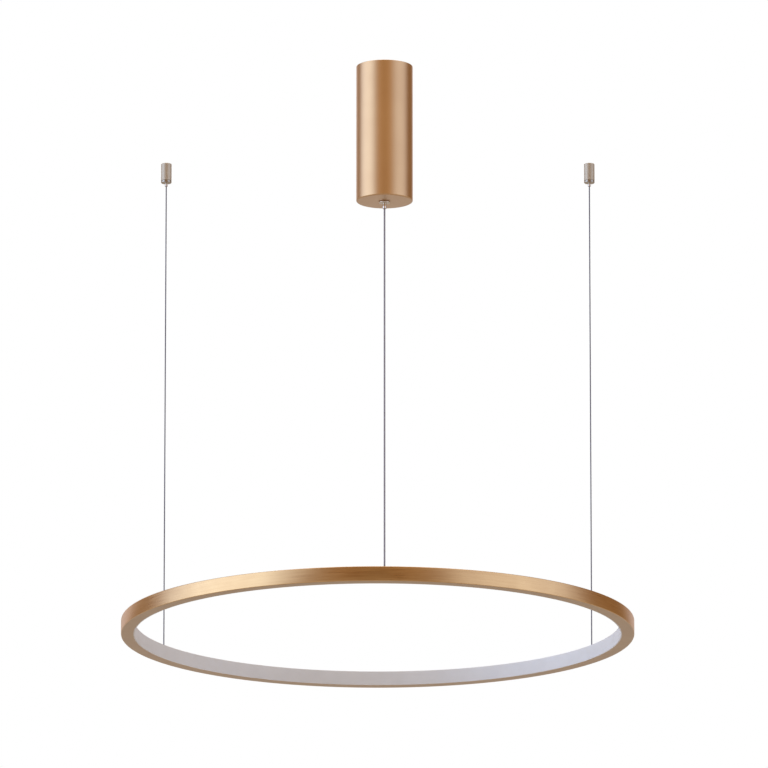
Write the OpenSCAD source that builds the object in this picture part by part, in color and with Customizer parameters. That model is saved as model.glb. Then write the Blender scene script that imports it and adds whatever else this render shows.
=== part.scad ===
// Pendant lamp: a slim light ring hung level on one feed cable and two steel wires.
// The feed cable drops from a tall driver canister, and each wire from a small ceiling anchor.
// Millimetres. +Z is up, the ceiling is at z = 0, and the feed cable hangs on the Z axis.
// The canister is at the front (-Y), so the ring lies behind it.

/* [Ring] */
// Outside diameter of the light ring
ring_d = 600; // [400:10:1000]
// Height of the ring's profile
ring_h = 17; // [15:0.5:24]
// Radial width of the ring, with its diffuser
ring_w = 16; // [16:0.5:24]
// Thickness of the profile's outer wall
ring_wall = 1.5; // [1.2:0.1:2]
// Thickness of the profile's top and bottom flanges
flange_t = 1.4; // [1:0.1:1.8]
// Radius on the profile's two outer edges
ring_edge_r = 0.8; // [0.2:0.1:1]
// Thickness of the diffuser's face
diffuser_t = 1.5; // [1:0.1:2]
// Depth of the diffuser's snap legs
leg_l = 2.6; // [2.4:0.1:3]
// Thickness of the diffuser's snap legs
leg_t = 0.9; // [0.6:0.1:1.1]
// Height of the ridges that hold the snap legs
snap_h = 0.5; // [0.3:0.1:0.6]
// Radial width of the snap ridges and of the barbs behind them
snap_w = 0.8; // [0.6:0.1:1]
// Width of the flexible light strip
strip_w = 8; // [6:0.5:8.5]
// Thickness of the light strip
strip_t = 0.4; // [0.3:0.05:0.6]
// How far the two ribs that locate the strip stand off the wall
rib_h = 0.8; // [0.6:0.1:1]
// Number of light chips on the strip
chip_n = 108; // [60:6:120]
// Width and height of a light chip
chip_w = 2.8; // [2:0.1:3.5]
// Thickness of a light chip
chip_t = 0.7; // [0.5:0.1:0.8]

/* [Suspension] */
// Distance from the ceiling down to the ring's underside
drop = 609; // [450:1:1500]
// Sideways distance of the feed point from the ring's middle
feed_shift = 8; // [0:1:20]
// Distance of the three lines inward from the ring's outer face
line_inset = 7.5; // [7.4:0.1:8]
// Diameter of the steel wires
wire_d = 1.5; // [1:0.1:1.6]
// Diameter of the feed cable
cable_d = 2; // [1.6:0.1:2.2]
// Diameter of the ball stop on each line's lower end
stop_d = 3.6; // [3.5:0.1:3.8]
// Diameter of the bushes that take the ball stops
bush_d = 5.8; // [5.6:0.1:6]
// Length of a bush inside the ring
bush_l = 8; // [7.5:0.5:9]
// Diameter of a bush's collar on the ring's top
collar_d = 8; // [7:0.5:9]
// Thickness of a bush's collar
collar_t = 0.8; // [0.6:0.1:1.2]
// Thickness of the round nut under each bush
bush_nut_t = 1.6; // [1.2:0.1:2]

/* [Canister] */
// Outside diameter of the canister
can_d = 65; // [64:1:80]
// Height of the canister, from the ceiling to its underside
can_h = 161; // [158:1:220]
// Thickness of the canister's wall
can_wall = 2; // [1.5:0.1:2.4]
// Thickness of the canister's floor
can_floor = 3; // [2:0.5:5]
// Radius on the canister's lower edge
can_edge_r = 1.5; // [1:0.1:2.8]
// Gap between the canister's top edge and the ceiling
can_gap = 0.4; // [0.2:0.1:1]
// Thickness of the ceiling bracket's plate and tabs
bracket_t = 2; // [1.5:0.1:2.5]
// Depth of the bracket's two tabs
tab_h = 13; // [11:1:18]
// Width of each tab, as an angle
tab_angle = 28; // [22:1:34]
// Distance between the two ceiling screw holes
screw_pitch = 40; // [36:1:42]
// Diameter of the ceiling screw holes
screw_hole_d = 5; // [4:0.5:6]
// Diameter of the grub screws that lock the canister
grub_d = 4; // [3:0.5:5]
// Bore of the grommet that the mains cable comes in through
grommet_bore_d = 7; // [5:0.5:8]
// Wall of the grommet inside the bracket's hole
grommet_wall = 1.5; // [1:0.1:2]
// How far the grommet stands forward of the canister's axis
grommet_y = 14; // [13:1:15]
// Width of the driver
driver_w = 34; // [28:1:36]
// Depth of the driver
driver_depth = 22; // [18:1:24]
// Length of the driver's case
driver_l = 96; // [60:1:98]
// Gap between the ceiling and the driver's case
driver_top = 38; // [36:1:44]
// Thickness of the steel driver carrier
carrier_t = 1.2; // [1:0.1:2]
// Width of the driver carrier
carrier_w = 26; // [24:1:30]
// Distance of the driver carrier behind the canister's axis
carrier_y = 10; // [8:0.5:11]
// Width of the terminal block
terminal_w = 24; // [20:1:26]
// Height of the terminal block
terminal_h = 16; // [12:1:18]
// Depth of the terminal block
terminal_depth = 11; // [9:1:12]

/* [Cable gland] */
// Diameter of the gland's flange
gland_d = 13.5; // [12:0.5:18]
// Thickness of the gland's flange
gland_t = 2; // [1.6:0.1:3]
// Diameter of the gland's threaded stem
stem_d = 10; // [9.6:0.1:12]
// Width of the gland nut across its flats
nut_flats = 14; // [13:1:17]
// Thickness of the gland nut
nut_t = 3; // [2:0.5:4]
// How far the gland's release nose stands out
gland_nose = 6.5; // [5:0.5:8]
// Diameter of the release nose at its tip
gland_tip_d = 4.6; // [4:0.1:4.8]

/* [Ceiling anchor] */
// Diameter of a ceiling anchor
anchor_d = 12.5; // [12:0.5:16]
// Height of a ceiling anchor without its release nose
anchor_h = 24; // [24:0.5:32]
// Height of the anchor's lower part, under the groove
anchor_nose_h = 3.1; // [2.5:0.1:5]
// Height of the groove between barrel and lower part
groove_h = 0.8; // [0.4:0.1:1]
// Depth of that groove
groove_depth = 0.7; // [0.4:0.1:0.9]
// Chamfer on the anchor's top and bottom edges
anchor_chamfer = 0.5; // [0.3:0.1:0.8]
// Height of the threaded base on the ceiling
base_h = 6; // [5:0.5:7]
// Diameter of the threaded base
base_d = 10; // [9.6:0.1:10.2]
// Diameter of the screw hole in the base
base_hole_d = 4.2; // [3.5:0.1:4.6]
// How far an anchor's release nose stands out
anchor_tip = 4.2; // [3.8:0.1:5]
// Diameter of an anchor's release nose
anchor_tip_d = 3.6; // [3.5:0.1:4.2]

/* [Line gripper] */
// Diameter of the three balls that hold the line
ball_d = 1.8; // [1.6:0.1:2]
// Half angle of the cone that the balls run in
cone_angle = 15; // [12:1:18]
// Wall of the ball cage
cage_wall = 1.15; // [1.05:0.05:1.3]
// How far the cage's spring flange stands out
cage_flange = 0.8; // [0.7:0.05:0.95]
// Thickness of the cage's spring flange
cage_flange_t = 0.8; // [0.6:0.1:1]
// Length of the plain bore under the cone
gripper_lip = 1.5; // [1:0.1:2]
// Length of the gripper's spring
spring_l = 4.6; // [4.4:0.1:5.4]
// Diameter of the spring's wire
spring_wire_d = 0.4; // [0.3:0.05:0.45]
// Number of turns in the spring
spring_turns = 4; // [3:0.5:4.5]
// Thickness of the web or plug that the spring pushes on
seat_t = 1.5; // [1.2:0.1:2]

/* [Fits] */
// Radial clearance of a thread drawn without its turns
thread_gap = 0.1; // [0.05:0.05:0.15]
// Clearance round a piece that moves in another
move_gap = 0.3; // [0.2:0.05:0.35]
// Radial clearance of a sliding fit
slide_gap = 0.1; // [0.05:0.01:0.1]
// Clearance between pieces that snap or seat together
seat_gap = 0.1; // [0.05:0.05:0.15]

/* [Hidden] */
$fn = 96;
champagne = "#B8895A";
nickel = "#B0A99F";
zinc = "#C9CCCF";
opal = "#C4BFC4";
brass = "#C2A14E";

// Ring, from its own middle and from the ceiling
ring_r = ring_d / 2;
ring_bottom = -drop;
ring_top = ring_bottom + ring_h;
face_r = ring_r - ring_w;
channel_r = face_r + diffuser_t;
strip_r = ring_r - ring_wall - strip_t;
rib_t = 0.8;
strip_seat = 0.05;
line_ring_r = ring_r - line_inset;
ring_x = -feed_shift;
ring_y = sqrt(line_ring_r * line_ring_r - feed_shift * feed_shift);
feed_angle = atan2(-ring_y, feed_shift);
left_angle = 150;
right_angle = 30;
line_angles = [feed_angle, left_angle, right_angle];
ridge_step = 0.8;
ridge_r = channel_r + ridge_step;
diffuser_inset = 0.2;

// Lines and their lower ends
wire_r = wire_d / 2;
cable_r = cable_d / 2;
stop_r = stop_d / 2;
stop_cavity_r = stop_r + move_gap;
stop_depth = 5;
stop_z = ring_top - stop_depth;
throat_ease = 0.2;
mouth_flare = 0.5;
throat_r = cable_r + move_gap + throat_ease;
mouth_r = throat_r + mouth_flare;

// Grippers: radii for a line of a given radius, and heights above the body's lower face
ball_r = ball_d / 2;
ball_gap = 0.05;
pivot_rise = 1.5;
function cage_in(line_r) = line_r + move_gap;
function cage_out(line_r) = cage_in(line_r) + cage_wall;
function exit_r(line_r) = cage_out(line_r) + slide_gap;
function flange_r(line_r) = cage_out(line_r) + cage_flange;
function chamber_r(line_r) = flange_r(line_r) + 0.25;
function ball_place(line_r) = line_r + ball_gap + ball_r;
function cone_r_at_ball(line_r) = ball_place(line_r) + (ball_r + ball_gap) / cos(cone_angle);
function ball_rise(line_r) = gripper_lip + (cone_r_at_ball(line_r) - exit_r(line_r)) / tan(cone_angle);
function cone_top(line_r) = gripper_lip + (chamber_r(line_r) - exit_r(line_r)) / tan(cone_angle);
function flange_rise(line_r) = cone_top(line_r) + 0.2;
function spring_rise(line_r) = flange_rise(line_r) + cage_flange_t;
function seat_rise(line_r) = spring_rise(line_r) + spring_l;
function spring_mean_r(line_r) = flange_r(line_r) - spring_wire_d / 2 - 0.1;

// Canister
can_r = can_d / 2;
can_in_r = can_r - can_wall;
can_floor_z = -can_h + can_floor;
bracket_gap = 1;
bracket_r = can_in_r - bracket_gap;
tab_in_r = bracket_r - bracket_t;
tab_step = 0.3;
grub_angles = [25, 155];
grub_z = -bracket_t - tab_h / 2;
grub_flush = 0.2;
grommet_hole_r = grommet_bore_d / 2 + grommet_wall;
grommet_lip_w = 1.5;
grommet_lip_r = grommet_hole_r + grommet_lip_w;
grommet_lip_t = 1;
grommet_h = bracket_t + grommet_lip_t;
gland_exit_z = -can_h - gland_t;
gland_top_z = gland_exit_z + seat_rise(cable_r) + seat_t;
gland_tip_z = gland_exit_z - gland_nose;
stem_r = stem_d / 2;
stem_wall = 1;
plug_r = stem_r - stem_wall;

// Driver and what holds it
driver_case_top = -driver_top;
driver_case_bottom = driver_case_top - driver_l;
driver_boss_r = 3;
driver_boss_h = 2;
lead_boss_r = 2.1;
lid_h = 10;
driver_outlet_z = driver_case_bottom - driver_boss_h;
ear_l = 7;
ear_t = 2;
carrier_bottom = driver_case_bottom - ear_l - 1;
carrier_foot = 12;
small_screw_r = 1.5;
small_head_r = 2.7;
small_head_h = 1.6;
small_hole_r = small_screw_r + thread_gap;
foot_screw_x = 8;
foot_screw_y = carrier_y + carrier_t + carrier_foot / 2;
terminal_top = -14;
lead_r = 0.9;
lead_x = 5;
terminal_y = carrier_y - terminal_depth;
lead_top_z = terminal_top - terminal_h;
lead_top_y = carrier_y - terminal_depth / 2;
lead_end_y = carrier_y - driver_depth / 2;
driver_y = carrier_y - driver_depth / 2;

// Ceiling anchors
anchor_r = anchor_d / 2;
anchor_exit_z = -anchor_h;
anchor_tip_z = anchor_exit_z - anchor_tip;
nose_top_z = anchor_exit_z + anchor_nose_h;
seat_z = anchor_exit_z + seat_rise(wire_r);
base_r = base_d / 2;
barrel_bore_r = base_r + thread_gap;
spigot_step = 0.4;
spigot_r = base_r - spigot_step;
anchor_gap = 0.3;

// Where each line may turn, just inside the tip of its gripper
feed_pivot_z = gland_tip_z + pivot_rise;
wire_pivot_z = anchor_tip_z + pivot_rise;
echo(feed_pivot_z = feed_pivot_z, wire_pivot_z = wire_pivot_z, stop_z = stop_z);
echo(ring_centre = [ring_x, ring_y], line_ring_r = line_ring_r);
echo(least_spring_gap = (spring_l - 2 * seat_gap - spring_wire_d) / spring_turns - spring_wire_d);

// Placing
module in_ring() {
    translate([ring_x, ring_y, 0])
        children();
}

module at_ring_angle(angle) {
    in_ring()
        rotate([0, 0, angle])
            translate([line_ring_r, 0, 0])
                children();
}

module pipe(outer_r, inner_r, bottom, top) {
    translate([0, 0, bottom])
        difference() {
            cylinder(h = top - bottom, r = outer_r);
            translate([0, 0, -1])
                cylinder(h = top - bottom + 2, r = inner_r);
        }
}

module rod(r, bottom, top) {
    translate([0, 0, bottom])
        cylinder(h = top - bottom, r = r);
}

// Smooth S from one point down to another, with a short upright run at both ends
function s_bend(a, b, run, steps) = [
    a,
    for (i = [0:steps])
        let (t = i / steps, s = t * t * (3 - 2 * t))
            [a[0] + (b[0] - a[0]) * s, a[1] + (b[1] - a[1]) * s,
             a[2] - run + (b[2] - a[2] + 2 * run) * t],
    b];

module swept_tube(path, r, sides) {
    count = len(path);
    ahead = [for (i = [0:count - 1])
        path[min(i + 1, count - 1)] - path[max(i - 1, 0)]];
    points = [
        for (i = [0:count - 1])
            let (
                t = ahead[i] / norm(ahead[i]),
                helper = abs(t[2]) > 0.9 ? [1, 0, 0] : [0, 0, 1],
                u = cross(t, helper) / norm(cross(t, helper)),
                v = cross(t, u))
                for (k = [0:sides - 1])
                    path[i] + r * (cos(360 * k / sides) * u + sin(360 * k / sides) * v)];
    quads = [
        for (i = [0:count - 2], k = [0:sides - 1])
            let (a = i * sides + k, b = i * sides + (k + 1) % sides)
                [[a, a + sides, b + sides], [a, b + sides, b]]];
    sides_faces = [for (pair = quads, face = pair) face];
    first = [for (k = [0:sides - 1]) k];
    last = [for (k = [sides - 1:-1:0]) (count - 1) * sides + k];
    polyhedron(points = points, faces = concat(sides_faces, [first, last]));
}

// Compression spring: one unbroken coil between two heights
module coil_spring(mean_r, bottom, top) {
    steps = ceil(spring_turns * 8);
    low = bottom + seat_gap + spring_wire_d / 2;
    high = top - seat_gap - spring_wire_d / 2;
    path = [
        for (i = [0:steps])
            let (a = 360 * spring_turns * i / steps)
                [mean_r * cos(a), mean_r * sin(a), low + (high - low) * i / steps]];
    coil_tube(path, mean_r, spring_wire_d / 2, 6);
}

module coil_tube(path, mean_r, r, sides) {
    count = len(path);
    points = [
        for (p = path)
            let (outward = [p[0], p[1], 0] / mean_r)
                for (k = [0:sides - 1])
                    p + r * (cos(360 * k / sides) * outward + [0, 0, sin(360 * k / sides)])];
    quads = [
        for (i = [0:count - 2], k = [0:sides - 1])
            let (a = i * sides + k, b = i * sides + (k + 1) % sides)
                [[a, b, b + sides], [a, b + sides, a + sides]]];
    sides_faces = [for (pair = quads, face = pair) face];
    first = [for (k = [sides - 1:-1:0]) k];
    last = [for (k = [0:sides - 1]) (count - 1) * sides + k];
    polyhedron(points = points, faces = concat(sides_faces, [first, last]));
}

// Line gripper
// The hollow of a gripper's body: plain lip, cone for the balls, then the spring's chamber
module gripper_hollow(line_r, top_rise) {
    translate([0, 0, -1])
        cylinder(h = gripper_lip + 1.01, r = exit_r(line_r));
    translate([0, 0, gripper_lip])
        cylinder(h = cone_top(line_r) - gripper_lip, r1 = exit_r(line_r), r2 = chamber_r(line_r));
    translate([0, 0, cone_top(line_r) - 0.01])
        cylinder(h = top_rise - cone_top(line_r) + 0.01, r = chamber_r(line_r));
}

// The ball cage, a tube with a spring flange, down to the body's lower face
module cage(line_r) {
    difference() {
        union() {
            rod(cage_out(line_r), 0, flange_rise(line_r) + 0.01);
            rod(flange_r(line_r), flange_rise(line_r), spring_rise(line_r));
        }
        rod(cage_in(line_r), -1, spring_rise(line_r) + 1);
        for (k = [0:2])
            rotate([0, 0, 120 * k])
                translate([0, 0, ball_rise(line_r)])
                    rotate([0, 90, 0])
                        cylinder(h = flange_r(line_r) + 1, r = ball_r + ball_gap);
    }
}

module grip_balls(line_r) {
    for (k = [0:2])
        rotate([0, 0, 120 * k])
            translate([ball_place(line_r), 0, ball_rise(line_r)])
                sphere(r = ball_r, $fn = 32);
}

// Ceiling canister
module ceiling_bracket() {
    color(zinc)
        difference() {
            union() {
                rod(bracket_r, -bracket_t, 0);
                for (a = grub_angles)
                    bracket_tab(a);
            }
            for (x = [-screw_pitch / 2, screw_pitch / 2])
                translate([x, 0, 0])
                    rod(screw_hole_d / 2, -bracket_t - 1, 1);
            translate([0, -grommet_y, 0])
                rod(grommet_hole_r, -bracket_t - 1, 1);
            for (x = [-foot_screw_x, foot_screw_x])
                translate([x, foot_screw_y, 0])
                    rod(small_hole_r, -bracket_t - 1, 1);
            for (a = grub_angles)
                grub_bore(a, grub_d / 2 + thread_gap);
        }
}

module bracket_tab(angle) {
    rotate([0, 0, angle - tab_angle / 2])
        translate([0, 0, -bracket_t - tab_h])
            rotate_extrude(angle = tab_angle)
                translate([tab_in_r, 0])
                    square([bracket_t - tab_step, tab_h + bracket_t / 2]);
}

module grub_bore(angle, r) {
    rotate([0, 0, angle])
        translate([tab_in_r - 4, 0, grub_z])
            rotate([0, 90, 0])
                cylinder(h = can_r - tab_in_r + 8, r = r);
}

module cable_grommet() {
    color("#2B2B2B")
        translate([0, -grommet_y, 0])
            difference() {
                union() {
                    rod(grommet_hole_r, -bracket_t - 0.01, 0);
                    rod(grommet_lip_r, -grommet_h, -bracket_t);
                }
                rod(grommet_bore_d / 2, -grommet_h - 1, 1);
            }
}

module canister_shell() {
    color(champagne)
        difference() {
            rotate_extrude()
                canister_section();
            rod(stem_r + thread_gap, -can_h - 1, can_floor_z + 1);
            for (a = grub_angles)
                grub_bore(a, grub_d / 2 + thread_gap);
        }
}

// Half section of the canister: a tube with a floor and a rolled lower edge
module canister_section() {
    difference() {
        union() {
            translate([0, -can_h + can_edge_r])
                square([can_r, can_h - can_edge_r - can_gap]);
            translate([0, -can_h])
                square([can_r - can_edge_r, can_edge_r + 1]);
            translate([can_r - can_edge_r, -can_h + can_edge_r])
                circle(r = can_edge_r);
        }
        translate([-1, can_floor_z])
            square([can_in_r + 1, can_h]);
    }
}

module shell_screws() {
    color("#55504A")
        for (a = grub_angles)
            rotate([0, 0, a])
                translate([tab_in_r - 1, 0, grub_z])
                    rotate([0, 90, 0])
                        grub_screw(can_r - tab_in_r + 1 - grub_flush);
}

module grub_screw(length) {
    difference() {
        cylinder(h = length, r = grub_d / 2);
        translate([0, 0, length - grub_d / 2])
            cylinder(h = grub_d, r = grub_d / 4, $fn = 6);
    }
}

// Driver and wiring
module driver_carrier() {
    plate_h = -bracket_t - carrier_bottom;
    color(zinc)
        difference() {
            union() {
                translate([-carrier_w / 2, carrier_y, carrier_bottom])
                    cube([carrier_w, carrier_t, plate_h]);
                translate([-carrier_w / 2, carrier_y, -bracket_t - carrier_t])
                    cube([carrier_w, carrier_t + carrier_foot, carrier_t]);
            }
            for (x = [-foot_screw_x, foot_screw_x])
                translate([x, foot_screw_y, 0])
                    rod(small_hole_r, -bracket_t - carrier_t - 1, 0);
            for (z = ear_heights())
                translate([0, carrier_y - 1, z])
                    rotate([-90, 0, 0])
                        cylinder(h = carrier_t + 2, r = small_hole_r);
        }
}

function ear_heights() = [driver_case_top + ear_l / 2, driver_case_bottom - ear_l / 2];

module pan_screw(length) {
    cylinder(h = length, r = small_screw_r);
    translate([0, 0, -small_head_h])
        difference() {
            cylinder(h = small_head_h, r = small_head_r);
            translate([0, 0, -1])
                cylinder(h = small_head_h / 2 + 1, r = small_screw_r * 0.8, $fn = 6);
        }
}

module carrier_screws() {
    color(zinc)
        for (x = [-foot_screw_x, foot_screw_x])
            translate([x, foot_screw_y, -bracket_t - carrier_t])
                pan_screw(bracket_t + carrier_t - grub_flush);
}

module driver_screws() {
    color(zinc)
        for (z = ear_heights())
            translate([0, carrier_y - ear_t, z])
                rotate([-90, 0, 0])
                    pan_screw(ear_t + carrier_t + 1);
}

module led_driver() {
    ear_w = 14;
    seam = 0.4;
    color("#E8E8E4")
        difference() {
            union() {
                translate([-driver_w / 2, carrier_y - driver_depth, driver_case_bottom])
                    cube([driver_w, driver_depth, driver_l]);
                translate([-ear_w / 2, carrier_y - ear_t, driver_case_bottom - ear_l])
                    cube([ear_w, ear_t, driver_l + 2 * ear_l]);
                translate([0, 0, driver_outlet_z])
                    cylinder(h = driver_boss_h + 1, r = driver_boss_r);
                for (x = [-lead_x, lead_x])
                    translate([x, driver_y, driver_case_top - 1])
                        cylinder(h = driver_boss_h / 2 + 1, r = lead_boss_r);
            }
            for (z = ear_heights())
                translate([0, carrier_y - ear_t - 1, z])
                    rotate([-90, 0, 0])
                        cylinder(h = ear_t + 2, r = small_hole_r);
            difference() {
                translate([-driver_w, -driver_depth * 2, driver_case_top - lid_h])
                    cube([driver_w * 2, driver_depth * 4, seam]);
                translate([-driver_w / 2 + seam, carrier_y - driver_depth + seam, driver_case_bottom])
                    cube([driver_w - 2 * seam, driver_depth, driver_l]);
            }
        }
}

module terminal_block() {
    poles = 3;
    pole_pitch = terminal_w / poles;
    color("#F2F0EA")
        difference() {
            translate([-terminal_w / 2, terminal_y, lead_top_z])
                cube([terminal_w, terminal_depth, terminal_h]);
            for (i = [0:poles - 1])
                translate([(i - (poles - 1) / 2) * pole_pitch, 0, 0])
                    terminal_pole(pole_pitch);
        }
}

// Wire hole from above and screw hole from the front
module terminal_pole(pole_pitch) {
    translate([0, lead_top_y, terminal_top - terminal_h / 3])
        cylinder(h = terminal_h, r = pole_pitch / 4);
    translate([0, terminal_y - 1, terminal_top - terminal_h / 5])
        rotate([-90, 0, 0])
            cylinder(h = terminal_depth / 4 + 1, r = pole_pitch / 5);
}

module mains_leads() {
    end_z = driver_case_top + driver_boss_h / 2;
    color("#3F5F8C")
        for (x = [-lead_x, lead_x])
            swept_tube(s_bend([x, lead_top_y, lead_top_z], [x, lead_end_y, end_z], lead_r, 9), lead_r, 8);
}

// Cable gland under the canister
module gland_body() {
    color(nickel)
        difference() {
            union() {
                rod(stem_r, -can_h - 0.01, gland_top_z);
                rotate_extrude()
                    gland_flange_section();
            }
            translate([0, 0, gland_exit_z])
                gripper_hollow(cable_r, seat_rise(cable_r) + 0.01);
            rod(plug_r + thread_gap, gland_exit_z + seat_rise(cable_r), gland_top_z + 1);
        }
}

// The flange is domed: a full rim round its edge
module gland_flange_section() {
    rim_r = gland_t / 2;
    translate([0, gland_exit_z])
        square([gland_d / 2 - rim_r, gland_t]);
    translate([gland_d / 2 - rim_r, gland_exit_z + rim_r])
        circle(r = rim_r);
}

module gland_nut() {
    color(nickel)
        difference() {
            translate([0, 0, can_floor_z])
                cylinder(h = nut_t, r = nut_flats / 2 / cos(30), $fn = 6);
            rod(stem_r + thread_gap, can_floor_z - 1, can_floor_z + nut_t + 1);
        }
}

module gland_plug() {
    color(nickel)
        pipe(plug_r, cage_in(cable_r), gland_exit_z + seat_rise(cable_r), gland_top_z);
}

module gland_spring() {
    color("#8F9296")
        translate([0, 0, gland_exit_z])
            coil_spring(spring_mean_r(cable_r), spring_rise(cable_r), seat_rise(cable_r));
}

// Release plunger: cage above, then a slightly tapered nose that passes the exit from above
module gland_plunger() {
    shoulder = gland_exit_z - 0.3;
    tip_edge = 0.4;
    tip_r = gland_tip_d / 2;
    color(nickel)
        difference() {
            union() {
                translate([0, 0, gland_exit_z])
                    cage(cable_r);
                rod(cage_out(cable_r), shoulder, gland_exit_z + 0.01);
                translate([0, 0, gland_tip_z + tip_edge])
                    cylinder(h = shoulder - gland_tip_z - tip_edge + 0.01, r1 = tip_r, r2 = cage_out(cable_r));
                translate([0, 0, gland_tip_z])
                    cylinder(h = tip_edge + 0.01, r1 = tip_r - tip_edge, r2 = tip_r);
            }
            rod(cage_in(cable_r), gland_tip_z - 1, gland_exit_z + 1);
        }
}

module gland_balls() {
    color("#D9DADC")
        translate([0, 0, gland_exit_z])
            grip_balls(cable_r);
}

// Feed cable: the end that the gland and driver hold, and the hanging length
module feed_cable_end() {
    color("#8A888A")
        rod(cable_r, feed_pivot_z + move_gap, driver_outlet_z);
}

module feed_cable() {
    color("#8A888A")
        rod(cable_r, stop_z - stop_r, feed_pivot_z);
}

module ball_stop(line_r) {
    color(nickel)
        translate([0, 0, stop_z])
            difference() {
                sphere(r = stop_r, $fn = 48);
                rod(line_r + slide_gap / 2, -stop_r - 1, stop_r + 1);
            }
}

// Ceiling anchors, drawn on their own axis
module anchor_base() {
    color(zinc)
        difference() {
            rod(base_r, -base_h, 0);
            rod(base_hole_d / 2, -base_h - 1, 1);
            translate([0, 0, -base_h - 0.01])
                cylinder(h = base_h / 3, r1 = base_hole_d, r2 = base_hole_d / 2);
        }
}

module anchor_barrel() {
    top = -anchor_gap;
    color(nickel)
        difference() {
            union() {
                rod(anchor_r, nose_top_z, top - anchor_chamfer);
                translate([0, 0, top - anchor_chamfer - 0.01])
                    cylinder(h = anchor_chamfer + 0.01, r1 = anchor_r, r2 = anchor_r - anchor_chamfer);
            }
            rod(barrel_bore_r, seat_z + seat_t, 1);
            rod(cage_in(wire_r), nose_top_z, 0);
            rod(spigot_r + thread_gap, nose_top_z - 1, seat_z);
        }
}

module anchor_nose() {
    color(nickel)
        difference() {
            union() {
                rod(spigot_r, nose_top_z - 0.01, seat_z - seat_gap);
                rod(anchor_r - groove_depth, nose_top_z - groove_h - 0.01, nose_top_z);
                rod(anchor_r, anchor_exit_z + anchor_chamfer, nose_top_z - groove_h);
                translate([0, 0, anchor_exit_z])
                    cylinder(h = anchor_chamfer + 0.01, r1 = anchor_r - anchor_chamfer, r2 = anchor_r);
            }
            translate([0, 0, anchor_exit_z])
                gripper_hollow(wire_r, anchor_h);
        }
}

module anchor_spring() {
    color("#8F9296")
        translate([0, 0, anchor_exit_z])
            coil_spring(spring_mean_r(wire_r), spring_rise(wire_r), seat_rise(wire_r));
}

// Release plunger: cage above, then a neck and a rounded tip, both slim enough to pass the exit
module anchor_plunger() {
    tip_r = anchor_tip_d / 2;
    neck_r = tip_r - 0.3;
    tip_h = anchor_tip / 2;
    neck_top = anchor_exit_z - 0.2;
    color(nickel)
        difference() {
            union() {
                translate([0, 0, anchor_exit_z])
                    cage(wire_r);
                rod(cage_out(wire_r), neck_top, anchor_exit_z + 0.01);
                rod(neck_r, anchor_tip_z + tip_h - 0.01, neck_top + 0.01);
                translate([0, 0, anchor_tip_z + tip_h])
                    tip_bulb(tip_r, tip_h);
            }
            rod(cage_in(wire_r), anchor_tip_z - 1, anchor_exit_z + 1);
        }
}

// Tip with a rounded lower edge, hanging from z = 0
module tip_bulb(r, h) {
    edge = r - cage_in(wire_r) - 0.2;
    rotate_extrude()
        union() {
            translate([0, -h])
                square([r - edge, h]);
            translate([0, -h + edge])
                square([r, h - edge]);
            translate([r - edge, -h + edge])
                circle(r = edge);
        }
}

module anchor_balls() {
    color("#D9DADC")
        translate([0, 0, anchor_exit_z])
            grip_balls(wire_r);
}

module wire_end() {
    color("#9A979A")
        rod(wire_r, wire_pivot_z + move_gap, seat_z + seat_t + 1);
}

module hanging_wire() {
    color("#9A979A")
        rod(wire_r, stop_z - stop_r, wire_pivot_z);
}

// Light ring
module ring_profile() {
    color(champagne)
        difference() {
            in_ring()
                rotate_extrude($fn = 180)
                    profile_section();
            for (a = line_angles)
                at_ring_angle(a)
                    rod(bush_d / 2 + thread_gap, ring_top - flange_t - 1, ring_top + 1);
        }
}

// Section of the extruded channel: outer wall, two flanges, strip ribs and snap ridges
module profile_section() {
    inner_low = ring_bottom + flange_t;
    inner_high = ring_top - flange_t;
    middle = (ring_bottom + ring_top) / 2;
    wall_r = ring_r - ring_wall;
    translate([wall_r, ring_bottom + ring_edge_r])
        square([ring_wall, ring_h - 2 * ring_edge_r]);
    for (z = [ring_bottom, inner_high])
        translate([channel_r, z])
            square([ring_r - ring_edge_r - channel_r, flange_t]);
    for (z = [ring_bottom + ring_edge_r, ring_top - ring_edge_r])
        translate([ring_r - ring_edge_r, z])
            circle(r = ring_edge_r, $fn = 48);
    for (z = [middle - strip_w / 2 - seat_gap - rib_t, middle + strip_w / 2 + seat_gap])
        translate([wall_r - rib_h, z])
            square([rib_h + 0.01, rib_t]);
    for (z = [inner_low - 0.01, inner_high - snap_h])
        translate([ridge_r, z])
            square([snap_w, snap_h + 0.01]);
}

module diffuser() {
    color(opal)
        in_ring()
            rotate_extrude($fn = 180)
                diffuser_section();
}

// Section of the opal strip: a face as high as the ring, with two barbed legs
module diffuser_section() {
    low = ring_bottom + flange_t + snap_h + seat_gap;
    high = ring_top - flange_t - snap_h - seat_gap;
    barb_r = ridge_r + snap_w + seat_gap;
    face_edge = 0.4;
    for (z = [ring_bottom + diffuser_inset + face_edge, ring_top - diffuser_inset - face_edge])
        translate([face_r + face_edge, z])
            circle(r = face_edge, $fn = 48);
    translate([face_r, ring_bottom + diffuser_inset + face_edge])
        square([diffuser_t, ring_h - 2 * (diffuser_inset + face_edge)]);
    translate([face_r + face_edge, ring_bottom + diffuser_inset])
        square([diffuser_t - face_edge, ring_h - 2 * diffuser_inset]);
    for (z = [low, high - leg_t])
        translate([channel_r - 0.01, z])
            square([leg_l + 0.01, leg_t]);
    for (z = [low - snap_h, high - 0.01])
        translate([barb_r, z])
            square([min(snap_w, channel_r + leg_l - barb_r), snap_h + 0.01]);
}

module led_strip() {
    middle = (ring_bottom + ring_top) / 2;
    color("#F4F4F0")
        in_ring()
            pipe(strip_r + strip_t, strip_r, middle - strip_w / 2, middle + strip_w / 2, $fn = 180);
}

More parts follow.
